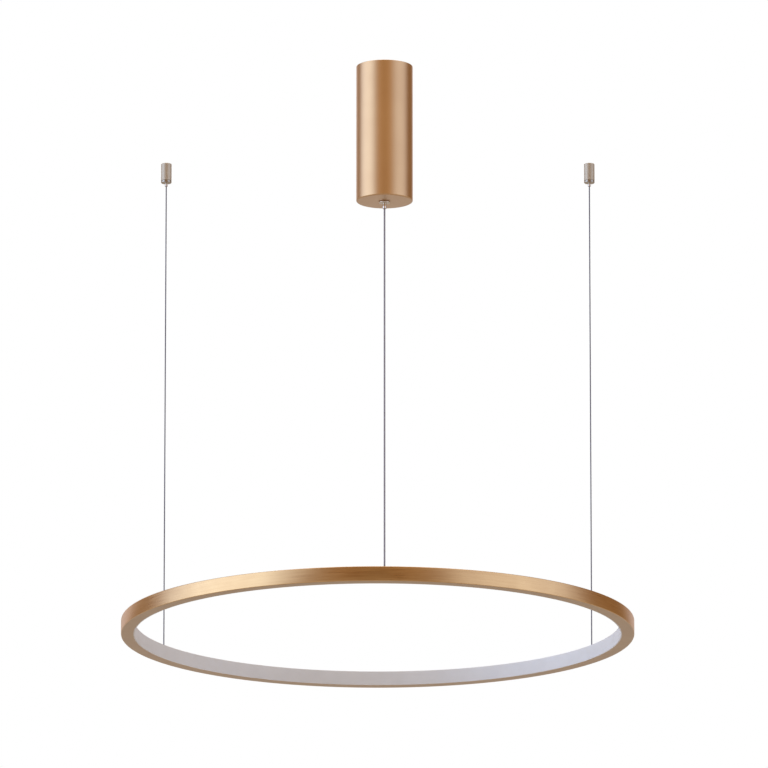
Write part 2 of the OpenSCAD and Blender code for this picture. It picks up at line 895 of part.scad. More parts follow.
module led_chips() {
    step = 360 / chip_n;
    middle = (ring_bottom + ring_top) / 2;
    color("#F2E27A")
        in_ring()
            for (i = [0:chip_n - 1])
                rotate([0, 0, feed_angle + (i + 0.5) * step])
                    translate([strip_r - chip_t - strip_seat, -chip_w / 2, middle - chip_w / 2])
                        cube([chip_t, chip_w, chip_w]);
}

module ring_bushes() {
    color(nickel)
        for (a = line_angles)
            at_ring_angle(a)
                ring_bush();
}

// Bush with a flared mouth above and a round seat for the ball stop below
module ring_bush() {
    collar_edge = collar_t / 2;
    difference() {
        union() {
            rod(bush_d / 2, ring_top - bush_l, ring_top + 0.01);
            rod(collar_d / 2, ring_top, ring_top + collar_t - collar_edge);
            translate([0, 0, ring_top + collar_t - collar_edge - 0.01])
                cylinder(h = collar_edge + 0.01, r1 = collar_d / 2, r2 = collar_d / 2 - collar_edge);
        }
        rod(throat_r, stop_z, ring_top + collar_t + 1);
        translate([0, 0, stop_z + stop_r])
            cylinder(h = ring_top + collar_t - stop_z - stop_r + 0.01, r1 = throat_r, r2 = mouth_r);
        translate([0, 0, stop_z])
            sphere(r = stop_cavity_r, $fn = 48);
        rod(stop_cavity_r, ring_top - bush_l - 1, stop_z);
    }
}

module bush_nuts() {
    nut_r = bush_d / 2 + 0.7;
    color(nickel)
        for (a = line_angles)
            at_ring_angle(a)
                pipe(nut_r, bush_d / 2 + thread_gap, ring_top - flange_t - bush_nut_t, ring_top - flange_t);
}

// Solder block on the strip, between two chips and behind the feed bush
module strip_connector() {
    block = connector_size();
    color("#F0F0F0")
        in_ring()
            rotate([0, 0, feed_angle])
                translate([strip_r - strip_seat - block[0], -block[1] / 2, connector_z()])
                    cube(block);
}

function connector_size() = [strip_r - line_ring_r - bush_d / 2 - move_gap - strip_seat, 8, 4];
function connector_z() = (ring_bottom + ring_top) / 2 - strip_w / 2;

module strip_leads() {
    start_z = ring_top - bush_l - 0.2;
    end_z = connector_z() + connector_size()[2] / 2;
    end_x = strip_r - strip_seat - connector_size()[0] - line_ring_r;
    lead = 0.45;
    color("#C9463D")
        for (y = [-1, 1])
            at_ring_angle(feed_angle)
                swept_tube(lead_route(y, start_z, end_x, end_z), lead, 8);
}

// From under the bush, down and out to the side of the solder block
function lead_route(y, start_z, end_x, end_z) = [
    [0, y, start_z], [0, y, start_z - 0.4], [0.3, y, start_z - 1.1],
    [1, y, end_z + 0.1], [1.8, y, end_z], [end_x, y, end_z]];

ceiling_bracket();
cable_grommet();
canister_shell();
shell_screws();
driver_carrier();
carrier_screws();
led_driver();
driver_screws();
terminal_block();
mains_leads();
gland_body();
gland_nut();
gland_plug();
gland_spring();
gland_plunger();
gland_balls();
feed_cable_end();
feed_cable();
ball_stop(cable_r);  // feed_stop
at_ring_angle(left_angle) anchor_base();  // left_anchor_base
at_ring_angle(left_angle) anchor_barrel();  // left_anchor_barrel
at_ring_angle(left_angle) anchor_nose();  // left_anchor_nose
at_ring_angle(left_angle) anchor_spring();  // left_spring
at_ring_angle(left_angle) anchor_plunger();  // left_plunger
at_ring_angle(left_angle) anchor_balls();  // left_balls
at_ring_angle(left_angle) wire_end();  // left_wire_end
at_ring_angle(left_angle) hanging_wire();  // left_wire
at_ring_angle(left_angle) ball_stop(wire_r);  // left_stop
at_ring_angle(right_angle) anchor_base();  // right_anchor_base
at_ring_angle(right_angle) anchor_barrel();  // right_anchor_barrel
at_ring_angle(right_angle) anchor_nose();  // right_anchor_nose
at_ring_angle(right_angle) anchor_spring();  // right_spring
at_ring_angle(right_angle) anchor_plunger();  // right_plunger
at_ring_angle(right_angle) anchor_balls();  // right_balls
at_ring_angle(right_angle) wire_end();  // right_wire_end
at_ring_angle(right_angle) hanging_wire();  // right_wire
at_ring_angle(right_angle) ball_stop(wire_r);  // right_stop
ring_profile();
diffuser();
led_strip();
led_chips();
ring_bushes();
bush_nuts();
strip_connector();
strip_leads();
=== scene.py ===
"""Looks of the ring pendant lamp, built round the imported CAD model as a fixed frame.

Sizes are in millimetres and are turned to metres where a mesh is made. The frame is the CAD's own:
+Z is up, the ceiling is at z = 0, the feed cable hangs on the Z axis and the front is -Y.
"""
import logging
import math
from dataclasses import dataclass, field
from enum import Enum

import bmesh
import bpy
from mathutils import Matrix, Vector


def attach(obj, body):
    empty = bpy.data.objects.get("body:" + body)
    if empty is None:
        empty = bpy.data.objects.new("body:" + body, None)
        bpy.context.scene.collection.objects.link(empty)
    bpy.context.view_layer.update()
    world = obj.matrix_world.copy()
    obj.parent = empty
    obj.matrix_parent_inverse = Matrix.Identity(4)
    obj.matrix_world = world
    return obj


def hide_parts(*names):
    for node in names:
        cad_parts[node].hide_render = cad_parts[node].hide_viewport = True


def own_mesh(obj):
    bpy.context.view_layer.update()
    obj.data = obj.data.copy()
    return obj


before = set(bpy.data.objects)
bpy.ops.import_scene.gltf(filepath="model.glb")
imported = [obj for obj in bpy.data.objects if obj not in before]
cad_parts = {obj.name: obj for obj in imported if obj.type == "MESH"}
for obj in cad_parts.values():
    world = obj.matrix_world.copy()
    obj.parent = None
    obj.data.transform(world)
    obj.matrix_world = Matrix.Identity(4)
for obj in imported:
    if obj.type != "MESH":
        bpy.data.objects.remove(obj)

log = logging.getLogger("ring_pendant")
Point = tuple[float, float]
Section = list[Point]
Piece = bpy.types.Object
Tree = bpy.types.NodeTree
Socket = bpy.types.NodeSocket

# Points closer than this many metres are one
MERGE = 2e-6
# How long the marks of a lathe or brush are, and how wide the clouds in a finish's tone, in mm
LATHE_MARK = 40.0
METAL_CLOUD = 38.0
PLASTIC_CLOUD = 25.0
# How much light an opal plastic passes on below its skin, as a share
OPAL_SHARE = 0.35


# Helpers for sizes and selection
def mm(value: float) -> float:
    """Returns millimetres as metres."""
    return value / 1000.0


def linear(colour: str) -> tuple[float, float, float, float]:
    """Turns an sRGB hex colour to linear values.

    Args:
        colour: six hex digits after a hash sign.

    Returns:
        Red, green, blue and an alpha of 1.
    """
    parts = [int(colour[i:i + 2], 16) / 255.0 for i in (1, 3, 5)]
    channels = [c / 12.92 if c <= 0.04045 else ((c + 0.055) / 1.055) ** 2.4 for c in parts]
    return (channels[0], channels[1], channels[2], 1.0)


def deselect_all() -> None:
    """Leaves object mode clean, with nothing selected and nothing active."""
    if bpy.context.object is not None and bpy.context.object.mode != "OBJECT":
        bpy.ops.object.mode_set(mode="OBJECT")
    bpy.ops.object.select_all(action="DESELECT")
    bpy.context.view_layer.objects.active = None


def pick(piece: Piece) -> None:
    """Makes one piece the only selected and active object."""
    deselect_all()
    piece.select_set(True)
    bpy.context.view_layer.objects.active = piece


def arc(centre: Point, radius: float, start: float, end: float, steps: int = 8) -> Section:
    """Returns points on a circle's arc.

    Args:
        centre: the arc's centre, as radius and height.
        radius: the arc's own radius.
        start: first angle in degrees, 0 pointing outwards and 90 up.
        end: last angle in degrees.
        steps: how many straight pieces the arc is cut into.

    Returns:
        steps + 1 points.
    """
    angles = [math.radians(start + (end - start) * i / steps) for i in range(steps + 1)]
    return [(centre[0] + radius * math.cos(a), centre[1] + radius * math.sin(a)) for a in angles]


def mirrored(upper: Section, middle: float) -> Section:
    """Returns the lower half of a section from its upper half, in the order that closes the outline.

    Args:
        upper: the upper half's points.
        middle: the height of the mirror.
    """
    return [(radius, 2.0 * middle - height) for radius, height in reversed(upper)]


# Mesh work
def smooth(piece: Piece, crease: float = 35.0) -> None:
    """Shades a piece smooth, with edges sharper than the crease angle kept crisp."""
    pick(piece)
    bpy.ops.object.shade_smooth_by_angle(angle=math.radians(crease))


def close_mesh(piece: Piece) -> None:
    """Merges double points, fills what is open and turns all faces outwards."""
    pick(piece)
    bpy.ops.object.mode_set(mode="EDIT")
    bpy.ops.mesh.select_all(action="SELECT")
    bpy.ops.mesh.remove_doubles(threshold=MERGE)
    bpy.ops.mesh.fill_holes(sides=0)
    bpy.ops.mesh.select_all(action="SELECT")
    bpy.ops.mesh.normals_make_consistent(inside=False)
    bpy.ops.object.mode_set(mode="OBJECT")


def settle(piece: Piece) -> None:
    """Puts a piece's place, turn and scale into its mesh."""
    pick(piece)
    bpy.ops.object.transform_apply(location=True, rotation=True, scale=True)


def turned(name: str, section: Section, at: Point = (0.0, 0.0), segments: int = 128) -> Piece:
    """Turns a closed section round a vertical axis, as on a lathe.

    The section is drawn point by point by extruding a vertex, then spun and merged.

    Args:
        name: the piece's name.
        section: closed outline as radius and height, without its first point at the end.
        at: the axis' place in plan.
        segments: faces round the axis.

    Returns:
        The finished piece.
    """
    deselect_all()
    start = Vector((mm(at[0] + section[0][0]), mm(at[1]), mm(section[0][1])))
    size = mm(1.0)
    bpy.ops.mesh.primitive_plane_add(size=size, location=start - Vector((size / 2, size / 2, 0)))
    piece = bpy.context.active_object
    piece.name = name
    settle(piece)
    bpy.ops.object.mode_set(mode="EDIT")
    bpy.context.tool_settings.mesh_select_mode = (True, False, False)
    mesh = bmesh.from_edit_mesh(piece.data)
    for vertex in mesh.verts:
        vertex.select = (vertex.co - start).length > size / 4
    mesh.select_flush_mode()
    bmesh.update_edit_mesh(piece.data)
    bpy.ops.mesh.delete(type="VERT")
    bpy.ops.mesh.select_all(action="SELECT")
    for here, there in zip(section, section[1:] + section[:1]):
        step = (mm(there[0] - here[0]), 0.0, mm(there[1] - here[1]))
        bpy.ops.mesh.extrude_region_move(TRANSFORM_OT_translate={"value": step})
    bpy.ops.mesh.select_all(action="SELECT")
    bpy.ops.mesh.remove_doubles(threshold=MERGE)
    bpy.ops.mesh.spin(
        steps=segments, angle=math.tau, center=(mm(at[0]), mm(at[1]), 0.0), axis=(0, 0, 1))
    bpy.ops.object.mode_set(mode="OBJECT")
    close_mesh(piece)
    smooth(piece)
    return piece


def drill(piece: Piece, place: Vector, direction: Vector, radius: float, depth: float) -> None:
    """Drills a round hole with a chamfered mouth through a piece.

    Args:
        piece: what is drilled.
        place: the middle of the drill, in mm.
        direction: the drill's axis.
        radius: the hole's radius in mm.
        depth: the drill's length in mm.
    """
    deselect_all()
    bpy.ops.mesh.primitive_cylinder_add(
        vertices=48, radius=mm(radius), depth=mm(depth), location=place / 1000.0,
        rotation=direction.to_track_quat("Z", "Y").to_euler())
    drill_bit = bpy.context.active_object
    cutter = piece.modifiers.new("drill", "BOOLEAN")
    cutter.operation = "DIFFERENCE"
    cutter.solver = "EXACT"
    cutter.object = drill_bit
    pick(piece)
    bpy.ops.object.modifier_apply(modifier=cutter.name)
    bpy.data.objects.remove(drill_bit)


def copied(piece: Piece, name: str, move: Vector) -> Piece:
    """Copies a piece with its own mesh to another place.

    Args:
        piece: what is copied.
        name: the copy's name.
        move: the way from the first to the copy, in mm.

    Returns:
        The copy, settled.
    """
    pick(piece)
    bpy.ops.object.duplicate(linked=False)
    copy = bpy.context.active_object
    copy.name = name
    bpy.ops.transform.translate(value=move / 1000.0)
    settle(copy)
    return copy


# Materials
def add_node(tree: Tree, kind: str, settings: dict | None = None, links: dict | None = None,
             values: dict | None = None) -> bpy.types.Node:
    """Adds a node with its settings, values and links.

    Args:
        tree: the tree it goes in.
        kind: the node's type name.
        settings: attributes to set on it.
        links: input name or number to output socket.
        values: input name or number to value.

    Returns:
        The node.
    """
    node = tree.nodes.new(kind)
    for key, value in (settings or {}).items():
        setattr(node, key, value)
    for key, value in (values or {}).items():
        node.inputs[key].default_value = value
    for key, socket in (links or {}).items():
        tree.links.new(socket, node.inputs[key])
    return node


def new_material(name: str) -> tuple[bpy.types.Material, Tree, bpy.types.Node]:
    """Starts a material and returns it with its tree and its shader node."""
    material = bpy.data.materials.new(name)
    material.use_nodes = True
    shader = next(n for n in material.node_tree.nodes if n.type == "BSDF_PRINCIPLED")
    return material, material.node_tree, shader


def ramp(tree: Tree, factor: Socket, stops: list[tuple[float, str]]) -> Socket:
    """Adds a colour ramp over a factor, with its stops as places and hex colours, and returns its colour."""
    node = add_node(tree, "ShaderNodeValToRGB", links={0: factor})
    band = node.color_ramp.elements
    while len(band) > len(stops):
        band.remove(band[-1])
    while len(band) < len(stops):
        band.new(1.0)
    for element, (place, colour) in zip(band, stops):
        element.position = place
        element.color = linear(colour)
    return node.outputs[0]


def grain(tree: Tree, spacing: tuple[float, float, float], detail: float = 3.0) -> Socket:
    """Adds noise whose marks have given sizes along X, Y and Z.

    Args:
        tree: the tree it goes in.
        spacing: the size of one mark along each axis, in mm.
        detail: how many finer layers the noise has.

    Returns:
        The noise, around 0.5.
    """
    where = add_node(tree, "ShaderNodeTexCoord")
    mapping = add_node(
        tree, "ShaderNodeMapping", {"vector_type": "POINT"}, {"Vector": where.outputs["Object"]},
        {"Scale": [1000.0 / s for s in spacing]})
    noise = add_node(
        tree, "ShaderNodeTexNoise", {}, {"Vector": mapping.outputs[0]},
        {"Scale": 1.0, "Detail": detail, "Roughness": 0.55})
    return noise.outputs[0]


def rough_band(tree: Tree, factor: Socket, low: float, high: float) -> Socket:
    """Spreads a 0 to 1 factor over a band of roughness and returns the result."""
    node = add_node(
        tree, "ShaderNodeMapRange", {"clamp": True}, {"Value": factor},
        {"From Min": 0.3, "From Max": 0.7, "To Min": low, "To Max": high})
    return node.outputs["Result"]


def relief(tree: Tree, height: Socket, depth: float, strength: float) -> Socket:
    """Adds a bump of a depth in mm from a height and returns its normal."""
    node = add_node(
        tree, "ShaderNodeBump", {}, {"Height": height}, {"Strength": strength, "Distance": mm(depth)})
    return node.outputs["Normal"]


class Grain(Enum):
    """Which way a metal's finishing marks run."""

    AROUND = "round a vertical axis"
    EVEN = "the same every way"


@dataclass(frozen=True)
class Surface:
    """What every finish has: a name, two tones and a band of roughness."""

    name: str
    light: str
    dark: str
    rough_low: float
    rough_high: float

    def cover(self, tree: Tree, shader: bpy.types.Node, tone: Socket, spread: float, marks: Socket,
              depth: float, strength: float) -> None:
        """Sets the shader's colour, gloss and relief.

        Args:
            tree: the material's tree.
            shader: its shader node.
            tone: noise that mixes both tones.
            spread: how far from 0.5 the noise is when one tone stands alone.
            marks: noise of the surface's marks.
            depth: the marks' depth in mm.
            strength: how strong they show.
        """
        colour = ramp(tree, tone, [(0.5 - spread, self.dark), (0.5 + spread, self.light)])
        tree.links.new(colour, shader.inputs["Base Color"])
        tree.links.new(rough_band(tree, marks, self.rough_low, self.rough_high), shader.inputs["Roughness"])
        tree.links.new(relief(tree, marks, depth, strength), shader.inputs["Normal"])


@dataclass(frozen=True)
class Metal(Surface):
    """A metal finish with the marks that finishing left on it, and a clear coat where it has one."""

    marks: Grain
    mark_mm: float
    mark_depth: float = 0.01
    strength: float = 0.25
    line_share: float = 0.5
    coat: float = 0.0

    def material(self) -> bpy.types.Material:
        """Makes the finish and returns it."""
        material, tree, shader = new_material(self.name)
        long_mm = LATHE_MARK if self.marks is Grain.AROUND else self.mark_mm
        lines = grain(tree, (long_mm, long_mm, self.mark_mm))
        clouds = grain(tree, (METAL_CLOUD,) * 3, detail=2.0)
        blend = add_node(
            tree, "ShaderNodeMix", {"data_type": "FLOAT"}, {2: clouds, 3: lines}, {0: self.line_share})
        self.cover(tree, shader, blend.outputs[0], 0.12, lines, self.mark_depth, self.strength)
        shader.inputs["Metallic"].default_value = 1.0
        shader.inputs["Coat Weight"].default_value = self.coat
        shader.inputs["Coat Roughness"].default_value = self.rough_low
        return material


@dataclass(frozen=True)
class Plastic(Surface):
    """A moulded plastic or rubber with its skin. A glow depth in mm lets light through it."""

    skin_mm: float
    skin_depth: float = 0.02
    ior: float = 1.5
    glow_depth: float = 0.0

    def material(self) -> bpy.types.Material:
        """Makes the finish and returns it."""
        material, tree, shader = new_material(self.name)
        skin = grain(tree, (self.skin_mm,) * 3)
        clouds = grain(tree, (PLASTIC_CLOUD,) * 3, detail=2.0)
        self.cover(tree, shader, clouds, 0.15, skin, self.skin_depth, 0.3)
        shader.inputs["IOR"].default_value = self.ior
        if self.glow_depth > 0:
            shader.inputs["Subsurface Weight"].default_value = OPAL_SHARE
            shader.inputs["Subsurface Radius"].default_value = (1.0, 1.0, 1.0)
            shader.inputs["Subsurface Scale"].default_value = mm(self.glow_depth)
        return material


class Finish(Enum):
    """Every finish on the lamp. The value is the finish's own description."""

    # Anodised aluminium, turned fine: a warm sheen that stands up and down the tube in two soft bands, under
    # the clear oxide that goes pale towards the tube's sides
    CHAMPAGNE = Metal(
        "champagne_anodised_aluminium", "#D3A972", "#CEA36D", 0.33, 0.39, Grain.AROUND, 0.45, 0.004, 0.1,
        line_share=0.3, coat=1.0)
    # The same, brushed after bending: faint streaks round the ring. Real brush marks are 0.1 mm wide, too
    # fine to show, so they are drawn 1.3 mm wide.
    BRUSHED = Metal(
        "brushed_champagne_aluminium", "#E2B879", "#D4A86B", 0.27, 0.34, Grain.AROUND, 1.3, 0.015, 0.15,
        line_share=0.5, coat=1.0)
    # The ring's flange faces, which the brush doesn't reach: matt, and darker than the wall as painted shade
    # for the ring's dim underside
    MATT = Metal(
        "matt_champagne_painted_shade", "#BF9F70", "#B99869", 0.4, 0.48, Grain.AROUND, 1.3, 0.004, 0.1,
        line_share=0.3, coat=1.0)
    # Polished nickel plate on brass: sharp small reflections
    POLISHED_NICKEL = Metal(
        "polished_nickel_plate", "#D8CDBC", "#D0C5B4", 0.04, 0.07, Grain.EVEN, 3.0, 0.004, 0.1)
    # Satin nickel plate over fine turning marks, drawn 1.2 mm wide: a soft, slightly warm grey
    SATIN_NICKEL = Metal(
        "satin_nickel_plate", "#CBBDA4", "#C6B89F", 0.56, 0.6, Grain.AROUND, 1.2, 0.001, 0.05,
        line_share=0.2)
    # The same plate over a brighter turned face, on the anchors' lower parts
    TURNED_NICKEL = Metal(
        "turned_nickel_plate", "#B0A592", "#A99E8B", 0.16, 0.22, Grain.AROUND, 0.6, 0.003, 0.1)
    # Zinc plated steel sheet: pale grey with faint blotches
    ZINC = Metal("zinc_plated_steel", "#C6CACE", "#B4B9BE", 0.3, 0.45, Grain.EVEN, 1.2)
    # Black oxide on steel grub screws: nearly black, oily gloss
    BLACK_OXIDE = Metal("black_oxide_steel", "#4A4641", "#3A3733", 0.35, 0.5, Grain.EVEN, 0.8)
    # Drawn spring wire: grey, with the die's fine marks
    SPRING_STEEL = Metal("drawn_spring_steel", "#A4A7AB", "#94979B", 0.22, 0.34, Grain.EVEN, 0.4)
    # Ground and lapped bearing balls: mirror bright
    BALL_STEEL = Metal(
        "lapped_bearing_steel", "#DCDDDF", "#D5D6D8", 0.04, 0.07, Grain.EVEN, 2.0, 0.002, 0.05)
    # Bright drawn steel rope wire: mid grey, satin
    ROPE_STEEL = Metal("drawn_rope_steel", "#8B888B", "#7E7B7E", 0.32, 0.44, Grain.EVEN, 0.5)
    # Opal polycarbonate, extruded with a satin face: milky, no sharp reflections, lit 2 mm deep
    OPAL = Plastic("opal_polycarbonate", "#E3E1D7", "#DFDDD3", 0.5, 0.56, 1.5, 0.002, 1.58, 2.0)
    # Soft PVC sheath: satin grey
    PVC = Plastic("soft_pvc_sheath", "#969293", "#8E8A8C", 0.4, 0.5, 0.5, 0.02, 1.53)
    # Moulded rubber: black and matt
    RUBBER = Plastic("moulded_black_rubber", "#2B2A2A", "#232222", 0.6, 0.72, 0.5, 0.03, 1.5)
    # Moulded flame-retardant ABS with a spark-eroded texture: off-white, matt
    ABS = Plastic("moulded_white_abs", "#E8E7E2", "#E2E1DB", 0.45, 0.58, 0.6, 0.04, 1.53)
    # Moulded polyamide terminal block: ivory, glossy
    POLYAMIDE = Plastic("moulded_ivory_polyamide", "#F0EDE4", "#E9E5DB", 0.2, 0.28, 1.5, 0.01, 1.53)
    # White solder mask over glass-fibre board: smooth, slightly wavy
    BOARD = Plastic("white_solder_mask", "#F0F0EA", "#E7E7E1", 0.3, 0.4, 0.8, 0.01, 1.5)
    # Silicone gel over the chip's phosphor: yellow, wet gloss
    PHOSPHOR = Plastic("phosphor_silicone_gel", "#F2DE7C", "#E9D26B", 0.12, 0.2, 0.9, 0.02, 1.43)
    # Moulded connector housing: white, matt
    CONNECTOR = Plastic("moulded_white_nylon", "#ECECEC", "#E4E4E4", 0.4, 0.5, 0.5, 0.02, 1.53)
    # PVC insulation of the cores, blue and red
    BLUE_CORE = Plastic("blue_pvc_core", "#3D5C96", "#375489", 0.35, 0.45, 0.6, 0.02, 1.53)
    RED_CORE = Plastic("red_pvc_core", "#B93A32", "#AC342D", 0.35, 0.45, 0.6, 0.02, 1.53)


class Palette:
    """Makes each finish once and puts it on pieces and CAD nodes."""

    def __init__(self) -> None:
        """Starts with no finish made."""
        self.made: dict[Finish, bpy.types.Material] = {}

    def material(self, finish: Finish) -> bpy.types.Material:
        """Returns a finish's material, made at its first use."""
        if finish not in self.made:
            self.made[finish] = finish.value.material()
        return self.made[finish]

    def dress(self, piece: Piece, finish: Finish) -> None:
        """Gives a piece one finish all over.

        Args:
            piece: the piece or CAD node.
            finish: what it is made of.
        """
        piece.data.materials.clear()
        piece.data.materials.append(self.material(finish))
        for face in piece.data.polygons:
            face.material_index = 0

    def dress_level_faces(self, piece: Piece, finish: Finish) -> None:
        """Gives the faces that look straight up or down another finish.

        Args:
            piece: the piece, already dressed.
            finish: the finish of its level faces.
        """
        piece.data.materials.append(self.material(finish))
        level = 0.99
        for face in piece.data.polygons:
            if abs(face.normal.z) > level:
                face.material_index = 1

    def fit(self, piece: Piece, finish: Finish, body: str, nodes: list[str]) -> None:
        """Dresses a new piece, hangs it on its body and lets it stand for its CAD nodes.

        Args:
            piece: the new piece.
            finish: what it is made of.
            body: the CAD body it moves with.
            nodes: the CAD nodes it stands for.
        """
        self.dress(piece, finish)
        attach(piece, body)
        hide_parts(*nodes)
        log.info("%s on %s, %d faces", piece.name, body, len(piece.data.polygons))


# Where the lamp's axes stand
FEED_AXIS: Point = (0.0, 0.0)
LEFT_AXIS: Point = (-261.312, 438.641)
RIGHT_AXIS: Point = (245.312, 438.641)
RING_CENTRE: Point = (-8.0, 292.391)


@dataclass(frozen=True)
class Glow:
    """A soft bright or dark side of the studio: where its middle lies, how wide it is and its light.

    It is full within the inner angle from its middle and fades out up to the outer one, in degrees.
    """

    turn: float
    rise: float
    inner: float
    outer: float
    colour: str
    strength: float
    covers: bool = False

    def way(self) -> Vector:
        """Returns the direction to its middle. A turn of 0 is the front and 90 the right, in degrees."""
        turn = math.radians(self.turn)
        rise = math.radians(self.rise)
        return Vector((math.sin(turn) * math.cos(rise), -math.cos(turn) * math.cos(rise), math.sin(rise)))

    def share(self, tree: Tree, direction: Socket) -> Socket:
        """Returns its strength over the directions: full in its middle, nothing outside its rim.

        Args:
            tree: the world's tree.
            direction: which way a ray goes.
        """
        nearness = add_node(
            tree, "ShaderNodeVectorMath", {"operation": "DOT_PRODUCT"}, {0: direction}, {1: self.way()})
        rim, core = [math.cos(math.radians(angle)) for angle in (self.outer, self.inner)]
        share = add_node(
            tree, "ShaderNodeMapRange", {"interpolation_type": "SMOOTHSTEP"},
            {"Value": nearness.outputs["Value"]},
            {"From Min": rim, "From Max": core, "To Min": 0.0, "To Max": self.strength})
        return share.outputs["Result"]

    def add_to(self, tree: Tree, direction: Socket, light: Socket) -> Socket:
        """Adds its light to the room's, or takes the room's light away behind it where it is a dark flag.

        Args:
            tree: the world's tree.
            direction: which way a ray goes.
            light: the room's light so far.

        Returns:
            The light with this side in it.
        """
        share = self.share(tree, direction)
        colour = {"Color": linear(self.colour)}
        if self.covers:
            dark = add_node(tree, "ShaderNodeBackground", {}, {}, {**colour, "Strength": 1.0})
            links = {0: share, 1: light, 2: dark.outputs[0]}
            return add_node(tree, "ShaderNodeMixShader", {}, links).outputs[0]
        glow = add_node(tree, "ShaderNodeBackground", {}, {"Strength": share}, colour)
        return add_node(tree, "ShaderNodeAddShader", {}, {0: light, 1: glow.outputs[0]}).outputs[0]


@dataclass(frozen=True)
class Softbox:
    """A rectangular soft light: its middle, the point it faces and its size in mm, its watts and colour."""

    place: tuple[float, float, float]
    aim: tuple[float, float, float]
    size: Point
    power: float
    colour: str

    def hang(self) -> None:
        """Adds the light, unseen by the camera."""
        turn = (Vector(self.aim) - Vector(self.place)).to_track_quat("-Z", "Y").to_euler()
        deselect_all()
        bpy.ops.object.light_add(type="AREA", location=Vector(self.place) / 1000.0, rotation=turn)
        lamp = bpy.context.active_object
        lamp.data.shape = "RECTANGLE"
        lamp.data.size = mm(self.size[0])
        lamp.data.size_y = mm(self.size[1])
        lamp.data.energy = self.power
        lamp.data.color = linear(self.colour)[:3]
        lamp.visible_camera = False


@dataclass
class Studio:
    """Camera at the photograph's angle, soft boxes, a dim room with glowing sides, and a pale floor."""

    distance: float = 11400.0
    rise: float = 12.04
    pitch: float = 13.5186
    aside: float = 7.4
    lens: float = 457.0
    ring_bottom: float = -609.0
    floor_z: float = -11500.0
    floor_r: float = 9000.0
    floor_y: float = 300.0
    # One wide box overhead, and a weak warm card that only the canister's front mirrors
    boxes: tuple[Softbox, ...] = (
        Softbox((0.0, 200.0, 3500.0), (0.0, 200.0, -330.0), (4000.0, 4000.0), 75.0, "#FFFFFF"),
        Softbox((0.0, -1200.0, 230.0), (0.0, 0.0, -80.0), (1500.0, 500.0), 0.9, "#FFE2C0"),
    )
    # Two tall pale sides in front, two weak ones behind, and a dark flag behind the camera, which the
    # canister and the ring mirror in their middle
    sides: tuple[Glow, ...] = (
        Glow(-74.0, 16.0, 0.0, 48.0, "#B4D0FF", 2.6),
        Glow(66.0, 16.0, 5.0, 44.0, "#BCD4FF", 1.5),
        Glow(-157.0, 20.0, 3.0, 22.0, "#F6F4FF", 0.5),
        Glow(165.0, 20.0, 3.0, 22.0, "#F6F4FF", 0.42),
        Glow(0.0, 13.5, 3.0, 7.0, "#140D08", 1.0, covers=True),
    )

    def place_camera(self) -> None:
        """Adds the camera, low and far in front of the lamp, looking up."""
        reach = math.radians(self.rise)
        place = Vector((
            RING_CENTRE[0] + self.aside,
            RING_CENTRE[1] - self.distance * math.cos(reach),
            self.ring_bottom - self.distance * math.sin(reach)))
        deselect_all()
        bpy.ops.object.camera_add(
            location=place / 1000.0, rotation=(math.radians(90.0 + self.pitch), 0.0, 0.0))
        camera = bpy.context.active_object
        camera.data.lens = self.lens
        camera.data.sensor_width = 36.0
        camera.data.clip_end = 100.0
        bpy.context.scene.camera = camera

    def fill_world(self) -> None:
        """Makes the world white for the camera, and for the light a room, warm above and grey below."""
        world = bpy.data.worlds.new("pale_studio")
        world.use_nodes = True
        tree = world.node_tree
        tree.nodes.clear()
        where = add_node(tree, "ShaderNodeTexCoord")
        parts = add_node(tree, "ShaderNodeSeparateXYZ", links={0: where.outputs["Generated"]})
        height = add_node(tree, "ShaderNodeMapRange", {}, {"Value": parts.outputs["Z"]},
                          {"From Min": -1.0, "From Max": 1.0})
        room = ramp(tree, height.outputs[0], [(0.46, "#C1B6AD"), (0.53, "#916E45")])
        light = add_node(tree, "ShaderNodeBackground", {}, {"Color": room}, {"Strength": 1.0}).outputs[0]
        for side in self.sides:
            light = side.add_to(tree, where.outputs["Generated"], light)
        white = add_node(
            tree, "ShaderNodeBackground", {}, {}, {"Color": (1.0, 1.0, 1.0, 1.0), "Strength": 1.0})
        rays = add_node(tree, "ShaderNodeLightPath")
        mixed = add_node(tree, "ShaderNodeMixShader", {}, {
            0: rays.outputs["Is Camera Ray"], 1: light, 2: white.outputs[0]})
        add_node(tree, "ShaderNodeOutputWorld", {}, {"Surface": mixed.outputs[0]})
        bpy.context.scene.world = world

    def lay_floor(self) -> None:
        """Adds the pale round floor, so far down that the camera can look up from anywhere above it."""
        deselect_all()
        bpy.ops.mesh.primitive_circle_add(
            vertices=96, radius=mm(self.floor_r), fill_type="NGON",
            location=(0.0, mm(self.floor_y), mm(self.floor_z)))
        floor = bpy.context.active_object
        floor.name = "floor"
        material, tree, shader = new_material("pale_floor")
        tone = ramp(tree, grain(tree, (4.0, 4.0, 4.0)), [(0.3, "#F4F4F4"), (0.7, "#F7F7F7")])
        tree.links.new(tone, shader.inputs["Base Color"])
        shader.inputs["Roughness"].default_value = 0.9
        floor.data.materials.append(material)

    def set_up(self) -> None:
        """Adds the lights, the world and the floor, and keeps the colours as they are, with no film curve."""
        for box in self.boxes:
            box.hang()
        self.fill_world()
        self.lay_floor()
        bpy.context.scene.view_settings.view_transform = "Standard"


